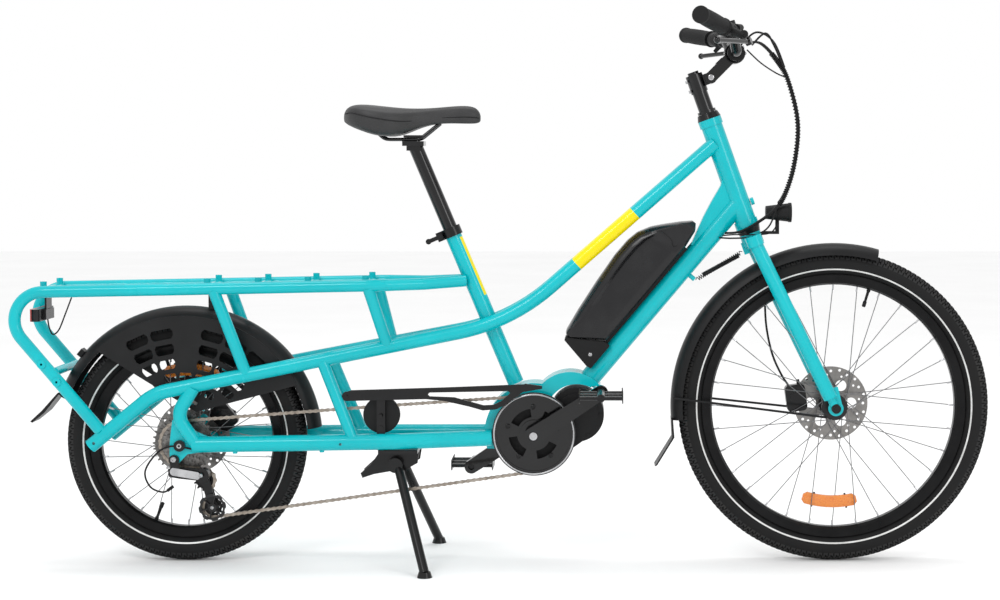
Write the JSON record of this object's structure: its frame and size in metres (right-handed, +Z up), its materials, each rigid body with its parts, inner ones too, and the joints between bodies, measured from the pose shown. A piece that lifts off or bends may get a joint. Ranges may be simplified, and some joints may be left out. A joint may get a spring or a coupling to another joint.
{
  "type": "cargo bicycle",
  "caption": "Turquoise longtail electric cargo bicycle with twin side tubes, rear deck rails, mid motor, double-leg kickstand, mudguards and disc brakes",
  "frame": {"origin": "Centre of the overall length and width, on the ground", "axes": "+X forward, +Y to the rider's left, +Z up"},
  "size_m": [2.0814, 0.6554, 1.1672],
  "materials": {
    "alloy": "satin",
    "black_metal": "satin",
    "frame_paint": "gloss",
    "lamp": "gloss",
    "plastic": "matte",
    "rubber": "matte",
    "seat_cover": "matte",
    "steel": "satin",
    "tyre": "matte"
  },
  "bodies": {
    "frame": {"head_tube": "frame_paint", "down_tube": "frame_paint", "seat_tube": "frame_paint", "side_tube_left": "frame_paint", "side_tube_right": "frame_paint", "deck_rail_left": "frame_paint", "deck_rail_right": "frame_paint", "lower_rails": "frame_paint", "frame_struts": "frame_paint", "deck_crossbars": "frame_paint", "motor_cradle": "frame_paint", "drive_motor": "plastic", "battery_mount": "plastic", "headset_cups": "black_metal", "seat_collar": "black_metal", "rear_fender": "plastic", "skirt_guards": "plastic", "tail_light": "lamp", "chain_guard": "plastic", "kickstand_bracket": "black_metal", "rear_caliper": "black_metal", "chain": "steel", "derailleur_body": "black_metal", "rear_axle": "black_metal"},
    "battery": {"battery": "plastic"},
    "quick_release": {"quick_release_lever": "black_metal"},
    "seat": {"seatpost": "alloy", "saddle": "seat_cover"},
    "kickstand": {"kickstand_legs": "black_metal"},
    "rear_wheel": {"rear_tyre": "tyre", "rear_rim": "alloy", "rear_hub": "alloy", "rear_spokes": "steel"},
    "cassette": {"cassette": "steel"},
    "cage": {"derailleur_cage": "black_metal"},
    "guide_pulley": {"guide_pulley": "plastic"},
    "tension_pulley": {"tension_pulley": "plastic"},
    "idler": {"idler_pulley": "plastic"},
    "cranks": {"chainring": "plastic", "crank_arms": "alloy"},
    "pedal_left": {"pedal_left": "black_metal"},
    "pedal_right": {"pedal_right": "black_metal"},
    "steering": {"fork": "frame_paint", "steerer_riser": "alloy", "front_axle": "black_metal", "front_fender": "plastic", "headlight": "plastic", "front_caliper": "black_metal", "stabiliser_spring": "black_metal", "cable_loom": "rubber"},
    "stem": {"stem_arm": "alloy", "handlebar": "black_metal", "grips": "rubber", "bar_controls": "plastic"},
    "brake_lever_left": {"brake_lever_left": "black_metal"},
    "brake_lever_right": {"brake_lever_right": "black_metal"},
    "front_wheel": {"front_tyre": "tyre", "front_rim": "alloy", "front_hub": "alloy", "front_spokes": "steel"}
  },
  "joints": [
    {"name": "steering", "type": "hinge", "parent": "frame", "child": "steering", "pos_m": [0.48104, 0, 0.82756], "axis": [-0.3371, 0, 0.9415], "range_deg": [-45, 45], "deforming": ["stabiliser_spring", "cable_loom"]},
    {"name": "stem_tilt", "type": "hinge", "parent": "steering", "child": "stem", "pos_m": [0.43971, 0, 1.03794], "axis": [0, 1, 0], "range_deg": [-15, 20]},
    {"name": "brake_left", "type": "hinge", "parent": "stem", "child": "brake_lever_left", "pos_m": [0.50628, 0.19198, 1.10344], "axis": [0.881, 0.3527, 0.3154], "range_deg": [0, 8], "stiffness_Nm_per_rad": 3, "springref_deg": -17.19},
    {"name": "brake_right", "type": "hinge", "parent": "stem", "child": "brake_lever_right", "pos_m": [0.50628, -0.19198, 1.10344], "axis": [0.881, -0.3527, 0.3154], "range_deg": [-8, 0], "stiffness_Nm_per_rad": 3, "springref_deg": 17.19},
    {"name": "front_wheel", "type": "hinge", "parent": "steering", "child": "front_wheel", "pos_m": [0.7045, 0, 0.334], "axis": [0, 1, 0], "continuous": true},
    {"name": "rear_wheel", "type": "hinge", "parent": "frame", "child": "rear_wheel", "pos_m": [-0.6855, 0, 0.2585], "axis": [0, 1, 0], "continuous": true},
    {"name": "crank", "type": "hinge", "parent": "frame", "child": "cranks", "pos_m": [0.0625, 0, 0.28], "axis": [0, 1, 0], "continuous": true, "deforming": ["chain"]},
    {"name": "cassette", "type": "hinge", "parent": "frame", "child": "cassette", "pos_m": [-0.6855, 0, 0.2585], "axis": [0, 1, 0], "continuous": true},
    {"name": "idler", "type": "hinge", "parent": "frame", "child": "idler", "pos_m": [-0.2615, -0.05, 0.3205], "axis": [0, 1, 0], "continuous": true},
    {"name": "cage", "type": "hinge", "parent": "frame", "child": "cage", "pos_m": [-0.6395, -0.064, 0.1805], "axis": [0, 1, 0], "range_deg": [-12, 12], "stiffness_Nm_per_rad": 1.5},
    {"name": "guide_pulley", "type": "hinge", "parent": "cage", "child": "guide_pulley", "pos_m": [-0.6395, -0.05, 0.1805], "axis": [0, 1, 0], "continuous": true},
    {"name": "tension_pulley", "type": "hinge", "parent": "cage", "child": "tension_pulley", "pos_m": [-0.6215, -0.05, 0.1235], "axis": [0, 1, 0], "continuous": true},
    {"name": "pedal_left", "type": "hinge", "parent": "cranks", "child": "pedal_left", "pos_m": [-0.08007, 0.088, 0.18741], "axis": [0, 1, 0], "continuous": true},
    {"name": "pedal_right", "type": "hinge", "parent": "cranks", "child": "pedal_right", "pos_m": [0.20507, -0.088, 0.37259], "axis": [0, 1, 0], "continuous": true},
    {"name": "kickstand", "type": "hinge", "parent": "frame", "child": "kickstand", "pos_m": [-0.2335, 0, 0.212], "axis": [0, 1, 0], "range_deg": [0, 100]},
    {"name": "quick_release", "type": "hinge", "parent": "frame", "child": "quick_release", "pos_m": [-0.13965, 0, 0.69756], "axis": [0, 1, 0], "range_deg": [0, 95]},
    {"name": "seat_height", "type": "slide", "parent": "frame", "child": "seat", "axis": [-0.3888, 0, 0.9213], "range_m": [-0.09, 0.02]},
    {"name": "battery_slide", "type": "slide", "parent": "frame", "child": "battery", "axis": [0.6445, 0, 0.7646], "range_m": [0, 0.01]}
  ],
  "couplings": [
    {"joint": "cassette", "follows": "crank", "ratio": 1.6667},
    {"joint": "idler", "follows": "crank", "ratio": 4.4444},
    {"joint": "guide_pulley", "follows": "crank", "ratio": -3.6364},
    {"joint": "tension_pulley", "follows": "crank", "ratio": 3.6364}
  ]
}
